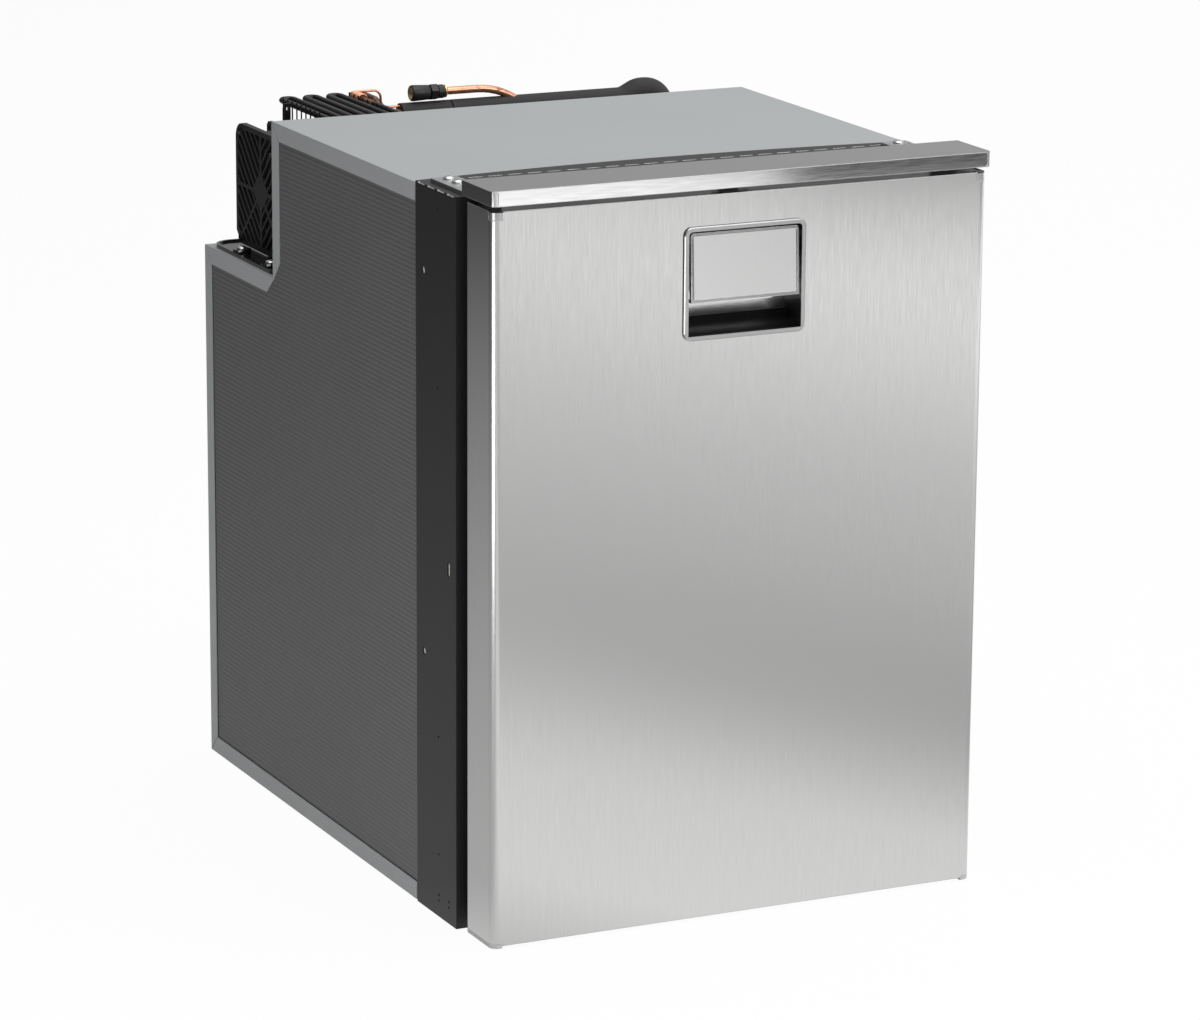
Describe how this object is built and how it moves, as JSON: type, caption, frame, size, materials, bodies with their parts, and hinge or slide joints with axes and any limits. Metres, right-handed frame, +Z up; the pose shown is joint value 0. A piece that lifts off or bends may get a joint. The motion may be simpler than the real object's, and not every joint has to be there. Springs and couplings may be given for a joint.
{
  "type": "drawer refrigerator",
  "caption": "Built-in refrigerator with one deep front drawer on telescopic slides and a compressor cooling unit on a rear ledge.",
  "frame": {"origin": "under the middle of the whole part, on the plane that it stands on", "axes": "+X to the right seen from the front, +Y to the back (the drawer opens along -Y), +Z up"},
  "size_m": [0.3874, 0.5306, 0.5357],
  "materials": {
    "grey_sheet": "satin grey coated sheet",
    "grey_board": "dark grey fluted plastic board",
    "foam": "rigid foam",
    "white_liner": "smooth white moulding",
    "black_sheet": "satin black coated sheet",
    "grey_steel": "fine brushed steel",
    "zinc": "zinc plated steel",
    "grey_cap": "light grey moulding",
    "black_seal": "soft black seal",
    "bezel": "grey metallic moulding",
    "bright": "bright metal plate",
    "wire": "white coated wire",
    "cold_plate": "white coated aluminium",
    "knob": "light grey moulding",
    "lens": "frosted clear lens",
    "black_gloss": "glossy black moulding",
    "black_plastic": "black moulding",
    "black_tube": "black coated steel tube",
    "black_shell": "black coated steel",
    "black_rubber": "soft black rubber",
    "alloy": "plain aluminium",
    "copper": "copper",
    "brass": "brass",
    "green_block": "green terminal block",
    "lead_red": "red insulated lead",
    "lead_black": "black insulated lead"
  },
  "bodies": {
    "cabinet": {"cabinet_wrap": "grey_sheet", "side_boards": "grey_board", "cabinet_foam": "foam", "cabinet_liner": "white_liner", "front_frame": "black_sheet", "trim_bar": "grey_steel", "bar_brackets": "zinc", "dome_screws": "zinc", "latch_keeper": "zinc", "slides_fixed": "zinc", "evaporator_plate": "cold_plate", "evaporator_standoffs": "white_liner", "thermostat_housing": "white_liner", "thermostat_lens": "lens", "drip_tray": "black_gloss", "fan_housing": "black_plastic", "fan_guard": "black_plastic", "guard_screws": "black_shell", "fan_strap": "black_shell", "fan_lead_red": "lead_red", "fan_lead_black": "lead_black", "condenser_coil": "black_tube", "condenser_wires": "black_tube", "condenser_straps": "black_shell", "compressor_shell": "black_shell", "compressor_base": "zinc", "compressor_feet": "black_rubber", "compressor_terminal_cover": "black_plastic", "compressor_leads": "lead_black", "electronics_housing": "black_plastic", "electronics_heat_sink": "alloy", "electronics_terminals": "green_block", "filter_drier": "copper", "capillary_tube": "copper", "suction_pipe": "copper", "suction_insulation": "black_rubber", "charging_pipe": "copper", "service_valve": "brass", "service_valve_cap": "black_plastic"},
    "drawer": {"drawer_skin": "grey_steel", "drawer_bottom_cap": "grey_cap", "drawer_top_cap": "grey_cap", "drawer_foam": "foam", "drawer_inner_panel": "white_liner", "door_seal": "black_seal", "handle_bezel": "bezel", "handle_back_plate": "bright", "latch_guide": "black_plastic", "latch_spring": "zinc", "slides_drawer": "zinc", "side_frame_right": "wire", "side_frame_left": "wire", "lower_basket": "wire", "upper_basket": "wire"},
    "flap": {"handle_flap": "bezel"},
    "bolt": {"latch_bolt": "black_plastic"},
    "slide_right": {"slide_middle_right": "zinc"},
    "slide_left": {"slide_middle_left": "zinc"},
    "knob": {"thermostat_knob": "knob"},
    "rotor": {"fan_rotor": "black_plastic"}
  },
  "joints": [
    {"name": "drawer_slide", "type": "slide", "parent": "cabinet", "child": "drawer", "axis": [0, -1, 0], "range_m": [0, 0.36]},
    {"name": "slide_right_travel", "type": "slide", "parent": "cabinet", "child": "slide_right", "axis": [0, -1, 0], "range_m": [0, 0.18]},
    {"name": "slide_left_travel", "type": "slide", "parent": "cabinet", "child": "slide_left", "axis": [0, -1, 0], "range_m": [0, 0.18]},
    {"name": "bolt_slide", "type": "slide", "parent": "drawer", "child": "bolt", "axis": [0, 0, -1], "range_m": [0, 0.00729], "stiffness_N_per_m": 120, "springref_m": -0.004, "deforming": ["latch_spring"]},
    {"name": "flap_hinge", "type": "hinge", "parent": "drawer", "child": "flap", "pos_m": [0, -0.2577, 0.489], "axis": [-1, 0, 0], "range_deg": [0, 18.1]},
    {"name": "knob_turn", "type": "hinge", "parent": "cabinet", "child": "knob", "pos_m": [0.1282, -0.1719, 0.469], "axis": [0, 1, 0], "range_deg": [0, 300]},
    {"name": "fan_spin", "type": "hinge", "parent": "cabinet", "child": "rotor", "pos_m": [-0.158, 0.2011, 0.4537], "axis": [1, 0, 0], "continuous": true}
  ],
  "couplings": [
    {"joint": "slide_right_travel", "follows": "drawer_slide", "ratio": 0.5},
    {"joint": "slide_left_travel", "follows": "drawer_slide", "ratio": 0.5},
    {"joint": "flap_hinge", "follows": "bolt_slide", "rad_per_m": 43.095}
  ]
}
